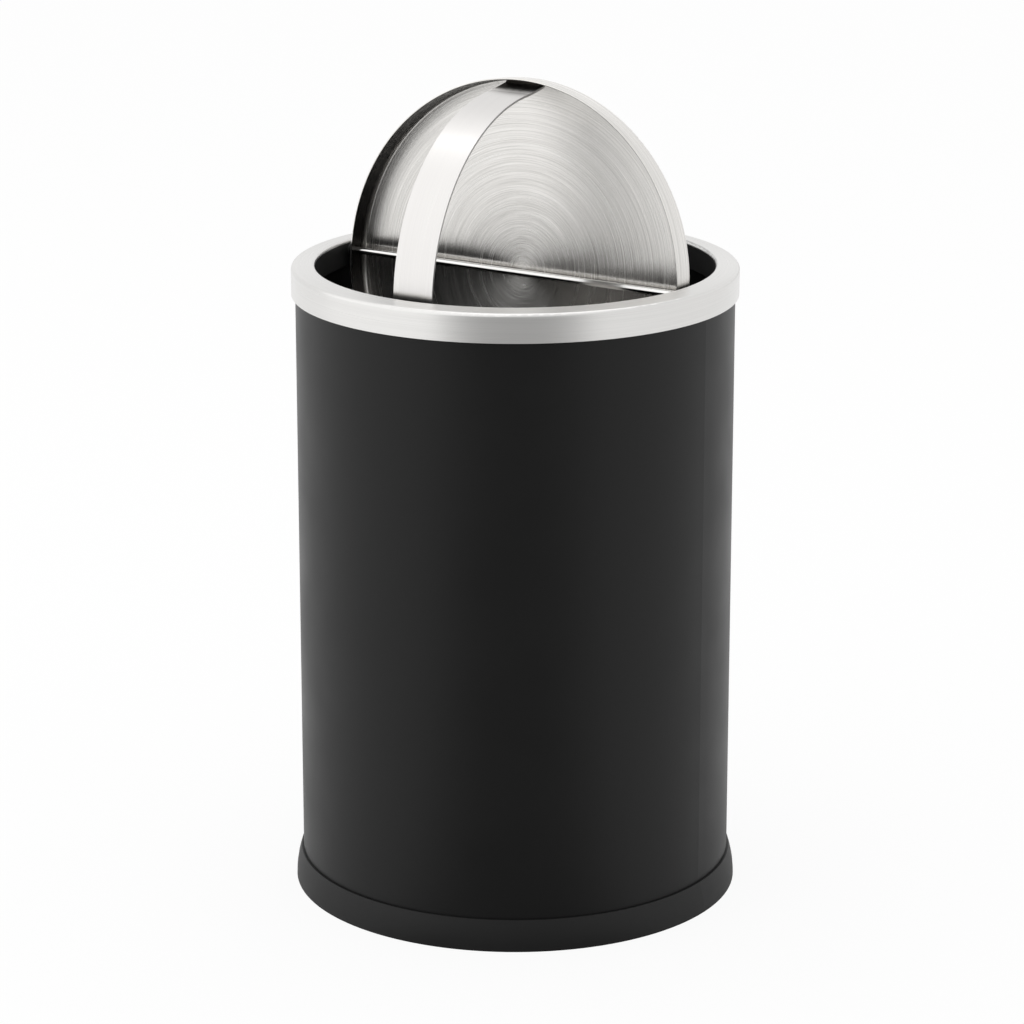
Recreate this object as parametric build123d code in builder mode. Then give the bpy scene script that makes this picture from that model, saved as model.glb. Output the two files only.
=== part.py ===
from build123d import *
from math import cos, radians, sin
import os

os.makedirs("parts", exist_ok=True)

# Lengths are in millimetres. The origin is on the floor in the middle of the base, +Z is up,
# the lid's axle lies along X, and the strap side of the lid faces -Y.

# Can: a rolled steel shell, a pressed bottom plate and a moulded base ring
shell_radius = 123.4
shell_sheet = 0.8
shell_length = 355.6
rim_hem_depth = 5.0
rim_hem_round = 0.3
plate_sheet = 0.8
plate_recess = 5.8
plate_panel_inset = 33.4
plate_panel_rise = 2.0
plate_bend = 1.8
base_ledge_height = 4.0
base_height = 17.8
base_foot_flare = 4.1
base_top_lip = 1.1
base_fit = 0.1
base_flange_width = 17.4
base_flange_thickness = 1.6
base_foot_width = 2.4
base_rib_count = 24
base_rib_thickness = 1.2
base_rib_lift = 0.6

# Screws that hold the base ring to the bottom plate
screw_count = 4
screw_inset = 9.4
screw_first_angle = 45.0
screw_shank_radius = 1.5
screw_length = 9.0
screw_head_radius = 3.2
screw_head_height = 2.0
screw_head_round = 0.9
screw_hole_clearance = 0.2
screw_recess_width = 0.9
screw_recess_depth = 1.1
screw_boss_radius = 4.6

# Head: the brushed steel ring and the black collar under it, which lift off as one
ring_sheet = 0.8
ring_fit = 0.6
ring_skirt_height = 15.8
ring_face_width = 13.3
ring_crown = 1.2
ring_outer_bend = 2.0
ring_inner_bend = 1.3
collar_web = 1.8
collar_wall = 1.8
collar_wall_depth = 12.0
collar_edge_round = 0.7
collar_web_round = 1.4
collar_web_gap = 0.2
locating_wall = 1.4
locating_wall_depth = 10.0
head_clearance = 0.4
collar_rib_count = 12
collar_rib_thickness = 1.2
collar_rib_depth = 7.0

# Pivots: two blind bushes in the collar, and the axle that turns in them
axle_drop = 5.0
axle_radius = 2.0
running_clearance = 0.04
axle_end_play = 0.3
axle_chamfer = 0.4
pad_proud = 0.4
boss_radius = 4.1
boss_length = 6.6
bush_radius = 3.1
bush_flange_radius = 3.9
bush_flange = 0.8
bush_end_wall = 1.0
washer_radius = 3.5
side_play = 0.4

# Lid: a shallow round pan on the axle, with a strap bowed out in front of it
lid_gap = 3.8
lid_sheet = 0.8
lid_depth = 14.7
lid_lip_ahead_of_axle = 5.9
lid_corner = 2.2
lid_lean = 5.2
strap_inset = 4.9
strap_width = 25.0
strap_sheet = 1.2
strap_arc_end = 8.0
strap_foot_length = 4.0
strap_joggle = 2.6
strap_ramp_rise = 3.4
strap_weld_gap = 0.3

# Heights and radii that follow from the sizes above
shell_inner_radius = shell_radius - shell_sheet
plate_panel_radius = shell_radius - plate_panel_inset
base_bore = shell_radius + base_fit
base_foot_radius = shell_radius + base_foot_flare
base_outer_foot = base_foot_radius - base_foot_width
base_flange_inner_radius = shell_radius - base_flange_width
base_inner_foot = base_flange_inner_radius + base_foot_width
screw_circle_radius = shell_radius - screw_inset
ring_radius = shell_radius + shell_sheet + ring_fit + ring_sheet
ring_opening_radius = ring_radius - ring_face_width
rim_height = base_ledge_height + shell_length
plate_height = base_ledge_height + plate_recess
collar_top = rim_height + collar_web
ring_shoulder = collar_top + ring_sheet
ring_lower_edge = ring_shoulder - ring_skirt_height
ring_top = ring_shoulder + ring_crown
axle_height = ring_shoulder - axle_drop
collar_inner_radius = ring_opening_radius
collar_wall_outer = collar_inner_radius + collar_wall
locating_radius = shell_inner_radius - head_clearance
pad_distance = collar_inner_radius - pad_proud
bush_inner_face = pad_distance - bush_flange
boss_end = pad_distance + boss_length
axle_half_length = boss_end - bush_end_wall - axle_end_play
lid_radius = ring_opening_radius - lid_gap
lid_inner_radius = lid_radius - lid_sheet
lid_back = lid_lip_ahead_of_axle - lid_depth
strap_radius = lid_inner_radius - strap_inset

# The lid is drawn as it hangs in the photograph, leaning back a little on its axle.
# In this plane x is along the axle, y is up the face of the pan and z is out of its open side.
lid_plane = Plane(
    origin=(0, 0, axle_height),
    x_dir=(1, 0, 0),
    z_dir=(0, -cos(radians(lid_lean)), sin(radians(lid_lean))),
)
lid_normal = Axis(lid_plane.origin, lid_plane.z_dir)
pan_section = Plane(lid_plane.origin, x_dir=lid_plane.x_dir, z_dir=-lid_plane.y_dir)
strap_section = Plane(lid_plane.origin, x_dir=lid_plane.z_dir, z_dir=-lid_plane.x_dir)

sides = {"left": -1, "right": 1}


def wall_section(inner, outer, low, high):
    """Add an upright rectangle from radius inner to outer and height low to high."""
    with Locations(((inner + outer) / 2, (low + high) / 2)):
        Rectangle(outer - inner, high - low)


def sheet_section(points, radii, thickness, side):
    """Add bent sheet metal: a line through points, rounded, thickened to one side."""
    with BuildLine() as outline:
        FilletPolyline(*points, radius=radii)
        offset(amount=thickness, side=side)
    make_face(outline.edges())


def save(sub_part, name):
    """Label a finished piece and write it under its own name."""
    sub_part.part.label = name
    export_step(sub_part.part, f"parts/{name}.step")


# Shell: rolled sheet, its top edge folded outwards into a safe hem under the ring
with BuildPart() as body_shell:
    with BuildSketch(Plane.XZ):
        wall_section(shell_inner_radius, shell_radius, base_ledge_height, rim_height)
        wall_section(
            shell_inner_radius, shell_radius + shell_sheet, rim_height - rim_hem_depth, rim_height
        )
    revolve(axis=Axis.Z)
    hem_top = body_shell.faces().sort_by(Axis.Z)[-1]
    fillet(hem_top.edges(), rim_hem_round)
save(body_shell, "body_shell")

# Bottom plate: a pressed dish with a turned-down rim and a raised panel
with BuildPart() as bottom_plate:
    with BuildSketch(Plane.XZ):
        sheet_section(
            [
                (shell_inner_radius, base_ledge_height),
                (shell_inner_radius, plate_height),
                (plate_panel_radius + plate_panel_rise, plate_height),
                (plate_panel_radius, plate_height + plate_panel_rise),
                (0, plate_height + plate_panel_rise),
            ],
            plate_bend,
            plate_sheet,
            Side.LEFT,
        )
    revolve(axis=Axis.Z)
    with Locations(Plane.XY.offset(plate_height)):
        with PolarLocations(screw_circle_radius, screw_count, start_angle=screw_first_angle):
            Hole(screw_shank_radius + screw_hole_clearance, depth=plate_sheet * 2)
save(bottom_plate, "bottom_plate")

# Base ring: the moulded skirt that flares to the floor, with its ledge, feet, ribs and bosses
flange_underside = base_ledge_height - base_flange_thickness
with BuildPart() as base_ring:
    with BuildSketch(Plane.XZ):
        with BuildLine():
            flare = TangentArc(
                (base_foot_radius, 0), (base_bore + base_top_lip, base_height), tangent=(0, 1)
            )
            Polyline(
                flare @ 1,
                (base_bore, base_height),
                (base_bore, base_ledge_height),
                (base_flange_inner_radius, base_ledge_height),
                (base_flange_inner_radius, 0),
                (base_inner_foot, 0),
                (base_inner_foot, flange_underside),
                (base_outer_foot, flange_underside),
                (base_outer_foot, 0),
                flare @ 0,
            )
        make_face()
    revolve(axis=Axis.Z)
    rib_middle = (base_inner_foot + base_outer_foot) / 2
    with BuildSketch(Plane.XY.offset(base_rib_lift)):
        with PolarLocations(rib_middle, base_rib_count):
            Rectangle(base_outer_foot - base_inner_foot + base_foot_width, base_rib_thickness)
    extrude(amount=base_ledge_height - base_flange_thickness / 2 - base_rib_lift)
    with BuildSketch(Plane.XY.offset(base_rib_lift)):
        with PolarLocations(screw_circle_radius, screw_count, start_angle=screw_first_angle):
            Circle(screw_boss_radius)
    extrude(amount=plate_height - plate_sheet - base_rib_lift)
    with Locations(Plane.XY.offset(plate_height - plate_sheet)):
        with PolarLocations(screw_circle_radius, screw_count, start_angle=screw_first_angle):
            Hole(screw_shank_radius, depth=screw_length - plate_sheet)
save(base_ring, "base_ring")

# Base screws: pan heads on the bottom plate, shanks down into the bosses
with BuildPart() as base_screws:
    with BuildSketch(Plane.XY.offset(plate_height)):
        with PolarLocations(screw_circle_radius, screw_count, start_angle=screw_first_angle):
            Circle(screw_head_radius)
    extrude(amount=screw_head_height)
    fillet(base_screws.faces().group_by(Axis.Z)[-1].edges(), screw_head_round)
    with BuildSketch(Plane.XY.offset(plate_height)):
        with PolarLocations(screw_circle_radius, screw_count, start_angle=screw_first_angle):
            Circle(screw_shank_radius)
    extrude(amount=-screw_length)
    with BuildSketch(Plane.XY.offset(plate_height + screw_head_height)):
        with PolarLocations(screw_circle_radius, screw_count, start_angle=screw_first_angle):
            Rectangle(screw_head_radius, screw_recess_width)
            Rectangle(screw_recess_width, screw_head_radius)
    extrude(amount=-screw_recess_depth, mode=Mode.SUBTRACT)
save(base_screws, "base_screws")

# Top ring: drawn brushed steel, a plain skirt and a top that rises to a rolled inner edge
with BuildPart() as top_ring:
    with BuildSketch(Plane.XZ):
        sheet_section(
            [
                (ring_radius, ring_lower_edge),
                (ring_radius, ring_shoulder),
                (ring_opening_radius, ring_top),
                (ring_opening_radius, collar_top),
            ],
            [ring_outer_bend, ring_inner_bend],
            ring_sheet,
            Side.LEFT,
        )
    revolve(axis=Axis.Z)
save(top_ring, "top_ring")

# Collar: black moulding with a web on the can's rim, a wall inside the opening, a locating
# wall inside the shell, ribs between the two, and a bored boss for each pivot
with BuildPart() as collar:
    web_radius = ring_radius - ring_sheet - collar_web_gap
    with BuildSketch(Plane.XZ):
        wall_section(collar_inner_radius, web_radius, rim_height, collar_top)
        wall_section(
            collar_inner_radius, collar_wall_outer, rim_height - collar_wall_depth, collar_top
        )
        wall_section(
            locating_radius - locating_wall,
            locating_radius,
            rim_height - locating_wall_depth,
            collar_top,
        )
    revolve(axis=Axis.Z)
    fillet(collar.faces().sort_by(Axis.Z)[0].edges(), collar_edge_round)
    outer_top_edge = collar.faces().sort_by(Axis.Z)[-1].edges().sort_by(SortBy.LENGTH)[-1]
    fillet(outer_top_edge, collar_web_round)
    channel_middle = (collar_wall_outer + locating_radius - locating_wall) / 2
    channel_width = locating_radius - locating_wall - collar_wall_outer
    with BuildSketch(Plane.XY.offset(rim_height)):
        with PolarLocations(channel_middle, collar_rib_count, start_angle=180 / collar_rib_count):
            Rectangle(channel_width + locating_wall, collar_rib_thickness)
    extrude(amount=-collar_rib_depth)
    for direction in sides.values():
        with BuildSketch(Plane.YZ.offset(direction * pad_distance)):
            with Locations((0, axle_height)):
                Circle(boss_radius)
        extrude(amount=direction * boss_length)
        with BuildSketch(Plane.YZ.offset(direction * pad_distance)):
            with Locations((0, axle_height)):
                Circle(bush_radius)
        extrude(amount=direction * boss_length, mode=Mode.SUBTRACT)
save(collar, "collar")


def pivot_bush(side, direction):
    """Nylon bush: a flange on the collar's pad and a blind sleeve in its boss."""
    with BuildPart() as bush:
        with BuildSketch(Plane.YZ.offset(direction * bush_inner_face)):
            with Locations((0, axle_height)):
                Circle(bush_flange_radius)
        extrude(amount=direction * bush_flange)
        with BuildSketch(Plane.YZ.offset(direction * pad_distance)):
            with Locations((0, axle_height)):
                Circle(bush_radius)
        extrude(amount=direction * boss_length)
        with BuildSketch(Plane.YZ.offset(direction * bush_inner_face)):
            with Locations((0, axle_height)):
                Circle(axle_radius + running_clearance)
        extrude(amount=direction * (bush_flange + boss_length - bush_end_wall), mode=Mode.SUBTRACT)
    save(bush, f"pivot_bush_{side}")


def lid_washer(side, direction):
    """Nylon washer on the axle, hollowed to seat on the round edge of the pan."""
    washer_face = bush_inner_face - side_play
    with BuildPart() as washer:
        with BuildSketch(Plane.YZ.offset(direction * lid_inner_radius)):
            with Locations((0, axle_height)):
                Circle(washer_radius)
                Circle(axle_radius, mode=Mode.SUBTRACT)
        extrude(amount=direction * (washer_face - lid_inner_radius))
        with BuildSketch(lid_plane):
            Circle(lid_radius)
        extrude(amount=lid_depth, both=True, mode=Mode.SUBTRACT)
    save(washer, f"lid_washer_{side}")


for side, direction in sides.items():
    pivot_bush(side, direction)
    lid_washer(side, direction)

# Axle: the bright rod that crosses the pan and ends in the two bushes
with BuildPart() as axle_rod:
    with BuildSketch(Plane.YZ):
        with Locations((0, axle_height)):
            Circle(axle_radius)
    extrude(amount=axle_half_length, both=True)
    chamfer(axle_rod.edges().filter_by(GeomType.CIRCLE), axle_chamfer)
save(axle_rod, "axle_rod")

# Lid pan: a drawn round dish, open to the strap side, with a hole for the axle at each end
with BuildPart() as lid_pan:
    with BuildSketch(pan_section):
        sheet_section(
            [
                (lid_radius, lid_lip_ahead_of_axle),
                (lid_radius, lid_back),
                (0, lid_back),
            ],
            lid_corner,
            lid_sheet,
            Side.RIGHT,
        )
    revolve(axis=lid_normal)
    with BuildSketch(Plane.YZ):
        with Locations((0, axle_height)):
            Circle(axle_radius)
    extrude(amount=lid_radius + lid_sheet, both=True, mode=Mode.SUBTRACT)
save(lid_pan, "lid_pan")

# Strap: a flat band bowed in a half circle about the axle. Each end leaves the bow on a
# straight ramp, joggles outwards inside the pan and is welded to the inside of its edge.
with BuildPart() as lid_strap:
    arc_angle = radians(90 - strap_arc_end)
    bow_start = (strap_radius * cos(arc_angle), strap_radius * sin(arc_angle))
    foot_end = lid_back + lid_corner + strap_weld_gap
    foot_start = foot_end + strap_foot_length
    ramp_end = (foot_start + strap_joggle, bow_start[1] + strap_ramp_rise)
    with BuildSketch(strap_section):
        with BuildLine():
            upper_end = Polyline(
                (foot_end, lid_inner_radius), (foot_start, lid_inner_radius), ramp_end, bow_start
            )
            mirror(upper_end, about=Plane.XZ)
            ThreePointArc(bow_start, (strap_radius, 0), (bow_start[0], -bow_start[1]))
            offset(amount=strap_sheet, side=Side.RIGHT)
        make_face()
    extrude(amount=strap_width / 2, both=True)
    with BuildSketch(lid_plane.offset(lid_back)):
        Circle(lid_inner_radius)
    extrude(amount=lid_radius + lid_depth, mode=Mode.INTERSECT)
save(lid_strap, "lid_strap")
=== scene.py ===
# %% [markdown]
# A round waste bin with a swing lid: a black steel can on a moulded base ring, a brushed steel
# top ring, and a round steel pan that turns on a rod across the opening, with a bowed strap in
# front of it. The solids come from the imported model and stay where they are. This script gives
# them their finishes, adds the seam that the solid model leaves out, and lights them.

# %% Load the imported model
import math

import bmesh
import bpy
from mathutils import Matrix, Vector


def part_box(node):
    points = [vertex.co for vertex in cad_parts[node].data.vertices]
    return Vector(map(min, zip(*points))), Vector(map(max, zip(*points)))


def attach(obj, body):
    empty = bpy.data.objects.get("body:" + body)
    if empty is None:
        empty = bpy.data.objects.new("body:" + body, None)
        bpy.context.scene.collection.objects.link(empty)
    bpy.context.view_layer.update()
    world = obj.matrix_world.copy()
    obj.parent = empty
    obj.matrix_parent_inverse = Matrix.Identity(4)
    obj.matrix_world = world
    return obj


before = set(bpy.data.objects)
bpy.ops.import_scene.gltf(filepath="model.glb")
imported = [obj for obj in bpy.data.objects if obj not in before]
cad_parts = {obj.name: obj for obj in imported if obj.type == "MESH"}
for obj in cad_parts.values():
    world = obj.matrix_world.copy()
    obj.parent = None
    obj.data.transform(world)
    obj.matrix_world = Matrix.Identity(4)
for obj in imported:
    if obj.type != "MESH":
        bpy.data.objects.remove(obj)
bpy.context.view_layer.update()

# %% [markdown]
# Everything is in metres, but a bin is thought of in millimetres, so one short function turns
# them over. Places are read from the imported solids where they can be: the lid turns about the
# middle of its axle, which gives the centre for the brushed circles on the pan. The pan leans
# back a little at rest, and the direction it faces is worked out from that lean.

# %% Sizes that the rest is worked out from
def mm(length):
    """Millimetres as metres."""
    return length / 1000


def middle(node):
    """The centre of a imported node's box."""
    low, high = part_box(node)
    return (low + high) / 2


axle_centre = middle("axle_rod")
lid_lean = math.radians(5.2)
lid_normal = Vector((0, -math.cos(lid_lean), math.sin(lid_lean)))
ring_low, ring_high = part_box("top_ring")
print("axle at", [round(c, 4) for c in axle_centre], "ring top", round(ring_high.z, 4))

# %% [markdown]
# The camera. The photograph was taken with a long lens from a little to the strap's right and
# above, and its upright edges were made parallel afterwards. A view camera could do that here with
# a large lens shift, but a shift would move the bin out of every other view. So this camera is
# simply tilted down, as the photographer's was, and the can's sides draw together slightly. The
# pan of a twentieth of a degree centres the bin as it is in the photograph.

# %% The camera
camera_azimuth = math.radians(32.6)
camera_distance = 2.1
camera_height = 0.8269
camera_tilt = math.radians(16.19)
camera_pan = math.radians(0.05)
camera_lens = 134.7

camera = bpy.data.objects.new("camera", bpy.data.cameras.new("camera"))
bpy.context.scene.collection.objects.link(camera)
camera.location = (
    camera_distance * math.sin(camera_azimuth),
    -camera_distance * math.cos(camera_azimuth),
    camera_height,
)
camera.rotation_euler = (math.pi / 2 - camera_tilt, 0, camera_azimuth + camera_pan)
camera.data.lens = camera_lens
bpy.context.scene.camera = camera
print("camera at", [round(c, 3) for c in camera.location])

# %% [markdown]
# Every finish below is a small tree of shader nodes. One function adds a node, sets it up and
# links it, which keeps each tree short enough to read. Colours are written as the hex values a
# screen shows, and one function makes them linear, because light is added up linearly.

# %% Helpers for colours and shader nodes
def linear(hex_colour):
    """An sRGB hex colour as linear RGBA."""
    channels = [int(hex_colour[i:i + 2], 16) / 255 for i in (1, 3, 5)]
    return [c / 12.92 if c <= 0.04045 else ((c + 0.055) / 1.055) ** 2.4 for c in channels] + [1]


def add(tree, kind, inputs=None, **settings):
    """Add a shader node, set it up, and fill or link its inputs by name or number."""
    made = tree.nodes.new("ShaderNode" + kind)
    for name, value in settings.items():
        setattr(made, name, value)
    for socket, value in (inputs or {}).items():
        if isinstance(value, bpy.types.NodeSocket):
            tree.links.new(value, made.inputs[socket])
        else:
            made.inputs[socket].default_value = value
    return made


def new_tree(owner):
    """Give a material or the world an empty node tree."""
    owner.use_nodes = True
    owner.node_tree.nodes.clear()
    return owner.node_tree


white = (1, 1, 1, 1)
print("mid grey #808080 is", round(linear("#808080")[0], 3), "in linear light")

# %% [markdown]
# The stage is a white photographer's sweep. White stands all round the bin, apart from a darker
# gap on the camera's side, where the photographer works, below the lamps. That gap is why the ring
# has a greyer middle and the black can is darkest down its front. Both the world and the floor use
# it, so one function measures how far a direction points into the gap.

# %% The dark gap on the camera's side
camera_side = (math.sin(camera_azimuth), -math.cos(camera_azimuth), 0)
gap_edge = math.cos(math.radians(46))
gap_core = math.cos(math.radians(4))


def in_gap(tree, direction):
    """From 0, outside the dark gap, to 1 in its middle."""
    level = add(
        tree, "VectorMath", {0: direction, 1: (1, 1, 0)}, operation="MULTIPLY"
    ).outputs[0]
    level = add(tree, "VectorMath", {0: level}, operation="NORMALIZE").outputs[0]
    towards = add(tree, "VectorMath", {0: level, 1: camera_side}, operation="DOT_PRODUCT")
    return add(
        tree, "MapRange",
        {"Value": towards.outputs["Value"], "From Min": gap_edge, "From Max": gap_core},
        interpolation_type="SMOOTHSTEP",
    ).outputs[0]


print("the gap faces", [round(c, 2) for c in camera_side])

# %% [markdown]
# The world is the sweep itself. It could be a plain white background, but steel shows whatever
# stands around it, so its brightness falls in the gap, and only there. The gap fades out between
# 22 and 50 degrees above the floor, under the lamps. The camera alone sees a pure white backdrop.

# %% The world
sweep_white = 0.95
gap_dark = 0.55
gap_shoulder = math.sin(math.radians(22))
gap_top = math.sin(math.radians(50))

world = bpy.data.worlds.new("white sweep")
bpy.context.scene.world = world
tree = new_tree(world)
direction = add(tree, "TexCoord").outputs["Generated"]
rise = add(tree, "SeparateXYZ", {"Vector": direction}).outputs["Z"]
below = add(
    tree, "MapRange", {"Value": rise, "From Min": gap_top, "From Max": gap_shoulder}
).outputs[0]
share = add(
    tree, "Math", {0: in_gap(tree, direction), 1: below}, operation="MULTIPLY"
).outputs[0]
level = add(
    tree, "MapRange", {"Value": share, "To Min": sweep_white, "To Max": gap_dark}
).outputs[0]
sweep = add(tree, "Background", {"Color": white, "Strength": level})
backdrop = add(tree, "Background", {"Color": white, "Strength": 1.0})
seen = add(tree, "LightPath").outputs["Is Camera Ray"]
seen = add(tree, "MixShader", {0: seen, 1: sweep.outputs[0], 2: backdrop.outputs[0]})
add(tree, "OutputWorld", {"Surface": seen.outputs[0]})
print("sweep", sweep_white, "in the gap", gap_dark)

# %% [markdown]
# The floor is white too. If it were only lit paint it would come out grey beside the white
# background, and if it only glowed it would lose the bin's shadow, so camera rays get a mix of the
# two. All other rays see paper painted darker into the gap, a painted shade for the floor in front
# of the bin, where less light falls.

# %% The floor
floor_half = 6.0

outline = bmesh.new()
bmesh.ops.create_grid(outline, x_segments=1, y_segments=1, size=floor_half)
floor_mesh = bpy.data.meshes.new("floor")
outline.to_mesh(floor_mesh)
outline.free()
floor = bpy.data.objects.new("floor", floor_mesh)
bpy.context.scene.collection.objects.link(floor)
print("floor", 2 * floor_half, "m across")

# %% The floor's paper
floor_glow = 0.9
paper_open = linear("#f8f8f8")
# painted shade: the grey paper in the gap, seen only in reflections
painted_gap_shade = linear("#a4a4a4")
paper_seen = linear("#f4f4f4")

floor_paper = bpy.data.materials.new("white_paper")
tree = new_tree(floor_paper)
share = in_gap(tree, add(tree, "TexCoord").outputs["Object"])
# painted shade: the paper turns grey into the gap
paper = add(
    tree, "MixRGB", {"Fac": share, "Color1": paper_open, "Color2": painted_gap_shade}
).outputs[0]
seen = add(tree, "LightPath").outputs["Is Camera Ray"]
paper = add(tree, "MixRGB", {"Fac": seen, "Color1": paper, "Color2": paper_seen}).outputs[0]
paint = add(tree, "BsdfDiffuse", {"Color": paper})
glow = add(tree, "Emission", {"Color": white, "Strength": 1.0})
share = add(tree, "Math", {0: seen, 1: floor_glow}, operation="MULTIPLY").outputs[0]
seen = add(tree, "MixShader", {0: share, 1: paint.outputs[0], 2: glow.outputs[0]})
add(tree, "OutputMaterial", {"Surface": seen.outputs[0]})
floor_mesh.materials.append(floor_paper)
print("floor glow towards the camera", floor_glow)

# %% [markdown]
# Most of the light is the white sweep's own. Two large soft boxes add a little to it: a weak one
# overhead, and the key box, which stands to the camera's left. A ray that meets a lamp also goes on
# to the sweep behind it, so a lamp of 0.3 in front of a sweep of 0.95 is seen as 1.25. An edge of
# the key box is the step in brightness on the bowed strap, and its place was found from there.

# %% The lamps
bin_middle = (0, 0, 0.25)


def soft_box(name, place, size, brightness):
    """A square lamp that faces the bin. A brightness of 1 looks as white as paper."""
    lamp = bpy.data.lights.new(name, "AREA")
    lamp.shape = "SQUARE"
    lamp.size = size
    lamp.energy = brightness * math.pi * size**2
    holder = bpy.data.objects.new(name, lamp)
    bpy.context.scene.collection.objects.link(holder)
    holder.location = place
    towards = Vector(bin_middle) - Vector(place)
    holder.rotation_euler = towards.to_track_quat("-Z", "Y").to_euler()
    print(name, size, "m square,", round(towards.length, 2), "m from the bin")


soft_box("top box", (-0.2, 0.2, 2.2), size=1.5, brightness=0.6)
soft_box("key box", (-0.9, -1.1, 1.3), size=3, brightness=0.3)

# %% [markdown]
# Brushed steel. The belt or wheel leaves fine parallel scratches, and each scratch is a tiny
# mirror groove: light spreads widely across the scratches and hardly at all along them. The shader
# calls this anisotropy, and it needs to know which way the scratches run. On this bin every
# brushed part was brushed while it turned about some axis: the ring about the can's own axis, the
# pan about its middle, and the bowed strap along its arc, which is a turn about the axle. So one
# set of coordinates serves all three, given the axis and a point on it.

# %% Coordinates and scratches of a surface that was brushed while it turned
noise_low, noise_high = 0.3, 0.7    # a noise node seldom goes outside these


def around(tree, point, axis):
    """The scratch direction, a place across the scratches, the radius, and the height."""
    place = add(tree, "TexCoord").outputs["Object"]
    arm = add(tree, "VectorMath", {0: place, 1: point}, operation="SUBTRACT").outputs[0]
    scratch = add(tree, "VectorMath", {0: axis, 1: arm}, operation="CROSS_PRODUCT").outputs[0]
    radius = add(tree, "VectorMath", {0: scratch}, operation="LENGTH").outputs["Value"]
    scratch = add(tree, "VectorMath", {0: scratch}, operation="NORMALIZE").outputs[0]
    height = add(tree, "VectorMath", {0: arm, 1: axis}, operation="DOT_PRODUCT").outputs["Value"]
    across = add(tree, "Math", {0: radius, 1: height}, operation="ADD").outputs[0]
    return scratch, across, radius, height


def scratches(tree, scratch, across, spacing, turning):
    """Noise drawn out along the scratches. A full turn passes about 6 x turning noise cells."""
    along = add(tree, "VectorMath", {0: scratch, "Scale": turning}, operation="SCALE").outputs[0]
    lane = add(tree, "Math", {0: across, 1: 1 / spacing}, operation="MULTIPLY").outputs[0]
    lane = add(tree, "CombineXYZ", {"X": lane, "Y": lane, "Z": lane}).outputs[0]
    where = add(tree, "VectorMath", {0: along, 1: lane}, operation="ADD").outputs[0]
    return add(
        tree, "TexNoise", {"Vector": where, "Scale": 1.0, "Detail": 2.0, "Roughness": 0.6}
    ).outputs["Fac"]


def spread(tree, value, low, high):
    """Stretch a noise value between two numbers."""
    return add(
        tree, "MapRange",
        {
            "Value": value, "From Min": noise_low, "From Max": noise_high,
            "To Min": low, "To Max": high,
        },
    ).outputs[0]


def blend(tree, noise, dark, light):
    """A colour that a noise value carries from dark to light."""
    return add(
        tree, "MixRGB",
        {"Fac": spread(tree, noise, 0, 1), "Color1": linear(dark), "Color2": linear(light)},
    ).outputs[0]


print("noise is stretched from", noise_low, "to", noise_high)

# %% [markdown]
# The steel itself is stainless, a slightly warm grey metal. Two noises make its scratches: fine
# ones give the colour and the relief, and both together vary the roughness. Real scratches lie
# some hundredths of a millimetre apart, too fine to show from here, so they are drawn coarser, 0.5
# to 0.7 mm apart. Near the middle of a turn the scratches crowd together, so the relief fades out
# there. The inner face of the pan's wall is painted near black, a painted shade for the dark that
# this face shows inside the pan.

# %% Brushed stainless steel
fine_turning = 1.5                  # long arcs of about 40 degrees
broad_turning = 0.8                 # arcs of about 70 degrees
broad_lanes = 9                     # times the fine spacing
roughness_swing = 0.04
scratch_depth = 0.2                 # times the spacing
middle_radius = mm(30)              # inside this the relief fades out
across_the_tangent = 0.25           # a quarter turn: rough across the scratches, not along them
# painted shade: this near black grey on the pan's inner wall stands for shade there
painted_wall_shade = linear("#3e3c3a")
wall_blend = mm(2)


def brushed_steel(
    name, point, axis, light, dark, roughness, anisotropy, spacing, relief, wall=None
):
    """Brushed stainless steel, its scratches running round an axis. Inside the radius and above
    the height given as wall, the face is painted dark as shade."""
    material = bpy.data.materials.new(name)
    tree = new_tree(material)
    scratch, across, radius, height = around(tree, point, axis)
    fine = scratches(tree, scratch, across, spacing, fine_turning)
    broad = scratches(tree, scratch, across, spacing * broad_lanes, broad_turning)
    both = add(tree, "Math", {0: fine, 1: broad}, operation="ADD").outputs[0]
    both = add(tree, "Math", {0: both, 1: 0.5}, operation="MULTIPLY").outputs[0]
    colour = blend(tree, fine, dark, light)
    # painted shade on the pan's inner wall, inside the radius and above the wall's foot
    if wall:
        wall_foot, wall_radius = wall
        above = add(
            tree, "MapRange",
            {
                "Value": height,
                "From Min": wall_foot - wall_blend, "From Max": wall_foot + wall_blend,
            },
        ).outputs[0]
        within = add(tree, "Math", {0: radius, 1: wall_radius}, operation="LESS_THAN").outputs[0]
        painted_shade = add(tree, "Math", {0: above, 1: within}, operation="MULTIPLY").outputs[0]
        colour = add(
            tree, "MixRGB", {"Fac": painted_shade, "Color1": colour, "Color2": painted_wall_shade}
        ).outputs[0]
    calm = add(
        tree, "MapRange", {"Value": radius, "From Max": middle_radius, "To Max": relief}
    ).outputs[0]
    bump = add(
        tree, "Bump", {"Height": fine, "Strength": calm, "Distance": spacing * scratch_depth}
    )
    steel = add(
        tree, "BsdfPrincipled",
        {
            "Base Color": colour,
            "Metallic": 1.0,
            "Roughness": spread(
                tree, both, roughness - roughness_swing, roughness + roughness_swing
            ),
            "Anisotropic": anisotropy,
            "Anisotropic Rotation": across_the_tangent,
            "Tangent": scratch,
            "Normal": bump.outputs[0],
        },
    )
    add(tree, "OutputMaterial", {"Surface": steel.outputs[0]})
    return material


print("scratch arcs:", round(360 / (2 * math.pi * fine_turning)), "degrees for a noise cell")

# %% [markdown]
# Three steels come out of it. The ring is drawn and belt brushed, so it is smooth and even. The pan
# was brushed on a spindle with a coarse wheel, so its circles show most, and its light fans out
# from the middle. The strap was brushed flat along its length, then bowed.

# %% The ring, the pan and the strap
pan_face = mm(-6.5)                 # height of the wall's foot, from the axle, towards the strap
pan_wall_radius = mm(107.9)

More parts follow.
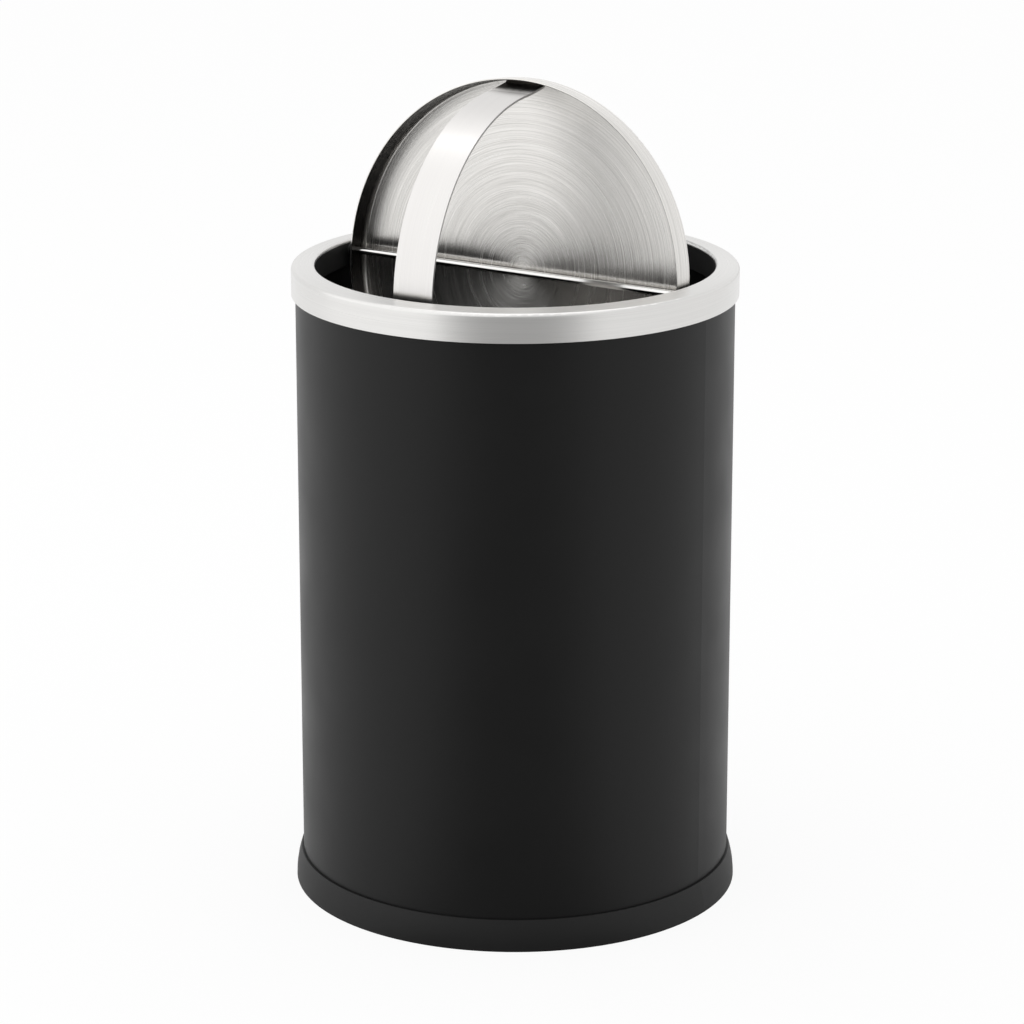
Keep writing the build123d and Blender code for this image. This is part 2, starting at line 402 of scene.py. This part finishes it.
ring_steel = brushed_steel(
    "brushed_stainless_ring", (0, 0, 0), (0, 0, 1), light="#e4e3e1", dark="#dcdbd9",
    roughness=0.3, anisotropy=0.8, spacing=mm(0.6), relief=0.06,
)
pan_steel = brushed_steel(
    "spun_brushed_stainless_pan", axle_centre, lid_normal, light="#fbf9f6", dark="#d3d1cd",
    roughness=0.25, anisotropy=0.95, spacing=mm(0.7), relief=0.26,
    # the pan's inner wall above this foot gets painted shade
    wall=(pan_face, pan_wall_radius),
)
strap_steel = brushed_steel(
    "long_brushed_stainless_strap", axle_centre, (1, 0, 0), light="#e4e2e0", dark="#dfdddb",
    roughness=0.3, anisotropy=0.8, spacing=mm(0.5), relief=0.05,
)
print("steels", [steel.name for steel in (ring_steel, pan_steel, strap_steel)])

# %% [markdown]
# The black parts. The can is powder coated: the powder melts into a skin with a faint orange peel
# and a low sheen. The base ring is polypropylene and the collar ABS, both moulded, with a fine
# grain that was etched into the mould. The bushes and washers are nylon. All are made alike here: a
# nearly black body, a rough clear reflection, and a fine noise that lifts the surface a few
# microns. Paint and plastic usually have an IOR near 1.5. The can and the base have less, because
# in the photograph they shine less.

# %% Black powder coat and moulded plastic
patch_size = mm(45)
patch_roughness = 0.03
grain_height = mm(0.05)


def black_skin(name, light, dark, roughness, ior, grain, relief):
    """A dark coated or moulded surface with a fine grain."""
    material = bpy.data.materials.new(name)
    tree = new_tree(material)
    place = add(tree, "TexCoord").outputs["Object"]
    fine = add(
        tree, "TexNoise", {"Vector": place, "Scale": 1 / grain, "Detail": 3.0}
    ).outputs["Fac"]
    broad = add(
        tree, "TexNoise", {"Vector": place, "Scale": 1 / patch_size, "Detail": 2.0}
    ).outputs["Fac"]
    bump = add(tree, "Bump", {"Height": fine, "Strength": relief, "Distance": grain_height})
    skin = add(
        tree, "BsdfPrincipled",
        {
            "Base Color": blend(tree, broad, dark, light),
            "Roughness": spread(
                tree, broad, roughness - patch_roughness, roughness + patch_roughness
            ),
            "IOR": ior,
            "Normal": bump.outputs[0],
        },
    )
    add(tree, "OutputMaterial", {"Surface": skin.outputs[0]})
    return material


print("patches of tone", round(patch_size / mm(1)), "mm across on every black finish")

# %% [markdown]
# Five finishes come out of it. The powder coat on the can has the lowest sheen. The bottom plate
# has the same coat, worn greyer by what stands on it. Polypropylene looks matt and a little waxy,
# ABS satin, and nylon slightly paler than both.

# %% The five black finishes
shell_black = black_skin(           # powder-coated sheet steel
    "powder_coated_steel", light="#101010", dark="#0e0e0e",
    roughness=0.42, ior=1.33, grain=mm(0.8), relief=0.25,
)
plate_black = black_skin(           # the same coat, rubbed by what stands on it
    "powder_coated_plate", light="#1d1d1d", dark="#1a1a1a",
    roughness=0.5, ior=1.45, grain=mm(0.8), relief=0.25,
)
base_black = black_skin(            # polypropylene, matt and a little waxy
    "moulded_polypropylene", light="#181818", dark="#151515",
    roughness=0.5, ior=1.36, grain=mm(0.6), relief=0.3,
)
collar_black = black_skin(          # ABS, satin
    "moulded_abs_collar", light="#1c1c1c", dark="#181818",
    roughness=0.4, ior=1.5, grain=mm(0.6), relief=0.2,
)
nylon_black = black_skin(           # nylon, slightly paler
    "moulded_nylon", light="#2a2a2a", dark="#242424",
    roughness=0.45, ior=1.53, grain=mm(0.5), relief=0.2,
)
blacks = (shell_black, plate_black, base_black, collar_black, nylon_black)
print("black finishes", [black.name for black in blacks])

# %% [markdown]
# The axle is bright drawn rod and the base screws are zinc plated. Drawing leaves faint lines along
# the rod; plating leaves a soft, slightly blue grey that varies in small patches.

# %% Bright rod and zinc screws
metal_swing = 0.03
metal_relief = 0.1
metal_height = mm(0.02)


def smooth_metal(name, light, dark, roughness, grain, stretch):
    """A smooth metal whose colour and roughness vary a little; stretch draws the noise along X."""
    material = bpy.data.materials.new(name)
    tree = new_tree(material)
    place = add(tree, "TexCoord").outputs["Object"]
    drawn = add(tree, "VectorMath", {0: place, 1: stretch}, operation="MULTIPLY").outputs[0]
    lines = add(
        tree, "TexNoise", {"Vector": drawn, "Scale": 1 / grain, "Detail": 2.0}
    ).outputs["Fac"]
    bump = add(
        tree, "Bump", {"Height": lines, "Strength": metal_relief, "Distance": metal_height}
    )
    metal = add(
        tree, "BsdfPrincipled",
        {
            "Base Color": blend(tree, lines, dark, light),
            "Metallic": 1.0,
            "Roughness": spread(tree, lines, roughness - metal_swing, roughness + metal_swing),
            "Normal": bump.outputs[0],
        },
    )
    add(tree, "OutputMaterial", {"Surface": metal.outputs[0]})
    return material


print("relief of the smooth metals up to", round(metal_height / mm(0.001)), "microns")

# %% The rod and the screws
axle_bright = smooth_metal(         # bright drawn steel, almost a mirror
    "bright_drawn_rod", light="#ecebe9", dark="#dedddb",
    roughness=0.12, grain=mm(0.6), stretch=(0.02, 1, 1),
)
screw_zinc = smooth_metal(          # zinc plate
    "zinc_plated_screw", light="#c9cbce", dark="#b4b7bb",
    roughness=0.35, grain=mm(0.8), stretch=(1, 1, 1),
)
print("smooth metals", axle_bright.name, screw_zinc.name)

# %% [markdown]
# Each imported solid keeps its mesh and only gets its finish. It could be done by hand in the
# material tab, but a table shows at a glance what every part is made of.

# %% Each node gets its finish
finishes = {
    "body_shell": shell_black,
    "bottom_plate": plate_black,
    "base_ring": base_black,
    "base_screws": screw_zinc,
    "top_ring": ring_steel,
    "collar": collar_black,
    "pivot_bush_left": nylon_black,
    "pivot_bush_right": nylon_black,
    "lid_washer_left": nylon_black,
    "lid_washer_right": nylon_black,
    "axle_rod": axle_bright,
    "lid_pan": pan_steel,
    "lid_strap": strap_steel,
}
for name, finish in finishes.items():
    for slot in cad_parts[name].material_slots:
        slot.material = finish
print("finished nodes", len(finishes))

# %% [markdown]
# The can is a flat sheet rolled into a tube, so it has one upright seam, and the maker turns that
# to the back. A seam welder presses the lapped edges between two copper wheels as it goes, which
# leaves a low bead with a faint ripple under the powder coat. It is drawn as an oval face that is
# extruded step by step up the can, each second step a little slimmer. Most of it lies inside the
# sheet.

# %% The size of the seam at the can's back
shell_radius = mm(123.4)
seam_half_width = mm(1.3)
seam_half_depth = mm(0.5)
seam_sink = mm(0.2)
seam_ripple = mm(3)
seam_under_ring = mm(3)
seam_waist = 0.86
seam_sides = 20
seam_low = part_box("base_ring")[1].z
seam_high = ring_low.z + seam_under_ring
seam_steps = 2 * round((seam_high - seam_low) / seam_ripple / 2)
seam_pitch = (seam_high - seam_low) / seam_steps
seam_spot = Vector((0, shell_radius - seam_sink, seam_low))
print("seam", round(seam_high - seam_low, 4), "m long in", seam_steps, "steps")

# %% [markdown]
# Extruding a face leaves the old one behind as a hidden wall inside the bead. The first one closes
# the bead's foot and stays; every later one is deleted, so that the bead is one closed skin.

# %% The bead
bead = bmesh.new()
bmesh.ops.create_circle(bead, cap_ends=True, segments=seam_sides, radius=1)
bmesh.ops.scale(bead, vec=(seam_half_width, seam_half_depth, 1), verts=bead.verts)
bmesh.ops.translate(bead, vec=seam_spot, verts=bead.verts)
top_face = bead.faces[:]
for step in range(seam_steps):
    raised = bmesh.ops.extrude_face_region(bead, geom=top_face)["geom"]
    if step > 0:
        bmesh.ops.delete(bead, geom=top_face, context="FACES_ONLY")
    corners = [item for item in raised if isinstance(item, bmesh.types.BMVert)]
    top_face = [item for item in raised if isinstance(item, bmesh.types.BMFace)]
    slimmer = seam_waist if step % 2 == 0 else 1 / seam_waist
    bmesh.ops.translate(bead, vec=(0, 0, seam_pitch), verts=corners)
    for vertex in corners:
        vertex.co.x *= slimmer
        vertex.co.y = seam_spot.y + (vertex.co.y - seam_spot.y) * slimmer
print("bead top at", round(corners[0].co.z, 4), "under a ring that starts at", round(ring_low.z, 4))

# %% [markdown]
# The operators hand their faces back in no fixed order. So the corners and faces are put in the
# order of a thread that winds up the bead, and the mesh comes out the same each time.

# %% The bead's faces, turned outwards and put in order
def along_thread(place):
    """How far a place lies along a thread that winds up the bead, a turn to each half step."""
    turn = math.atan2(place.y - seam_spot.y, place.x)
    return round(2 * (place.z - seam_low) / seam_pitch) * math.tau + turn


bmesh.ops.recalc_face_normals(bead, faces=bead.faces)
bead.verts.sort(key=lambda corner: along_thread(corner.co))
bead.faces.sort(key=lambda face: along_thread(face.calc_center_median()))
print("bead faces", len(bead.faces))
print("open or doubled edges", sum(not edge.is_manifold for edge in bead.edges))
print("volume", round(bead.calc_volume(signed=True) / mm(1)**3), "cubic mm, above 0 when outward")

# %% The seam, riding on the can
seam_mesh = bpy.data.meshes.new("shell_seam")
bead.to_mesh(seam_mesh)
bead.free()
seam_mesh.materials.append(shell_black)
seam_mesh.shade_smooth()
shell_seam = bpy.data.objects.new("shell_seam", seam_mesh)
bpy.context.scene.collection.objects.link(shell_seam)
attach(shell_seam, "can")
print("seam stands", round((seam_half_depth - seam_sink) * 1000, 2), "mm proud")

# %% [markdown]
# The view transform stays plain, so that a colour comes out as it is written.

# %% Finish
bpy.context.scene.view_settings.view_transform = "Standard"
